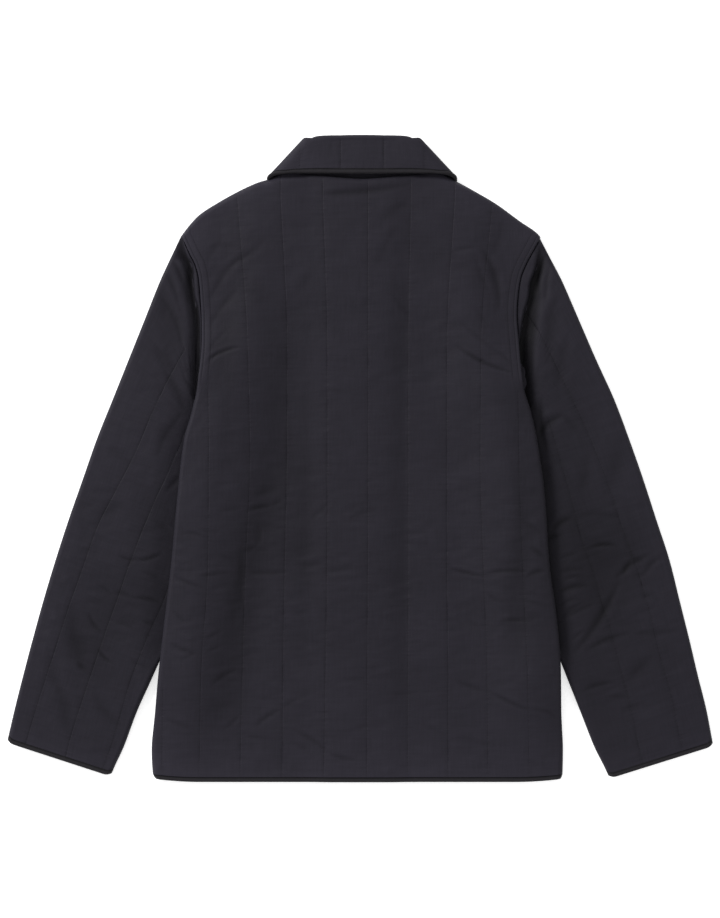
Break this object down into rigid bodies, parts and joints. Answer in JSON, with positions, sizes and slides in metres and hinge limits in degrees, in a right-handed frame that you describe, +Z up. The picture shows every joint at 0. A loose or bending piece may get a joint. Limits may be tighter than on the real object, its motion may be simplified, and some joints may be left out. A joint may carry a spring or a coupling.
{
  "type": "quilted jacket",
  "caption": "Hip-length long-sleeved jacket of thinly padded dark cloth with vertical quilted channels, a turn-down collar and bound edges, laid flat with its back up.",
  "frame": {"origin": "on the surface it lies on, under the middle of the whole jacket's bounding box", "axes": "+X across the jacket to the wearer's right sleeve, +Y from the hem to the collar, +Z up out of the back"},
  "size_m": [0.8091, 0.743, 0.024],
  "materials": {
    "quilted_cloth": "very dark blue-black plain weave with a low satin sheen",
    "binding": "near-black narrow binding, matte"
  },
  "bodies": {
    "root": {"back": "quilted_cloth", "front_left": "quilted_cloth", "front_right": "quilted_cloth", "sleeve_left": "quilted_cloth", "sleeve_right": "quilted_cloth", "collar": "quilted_cloth", "hem_binding": "binding", "cuff_binding_left": "binding", "cuff_binding_right": "binding", "collar_binding": "binding"}
  },
  "joints": []
}
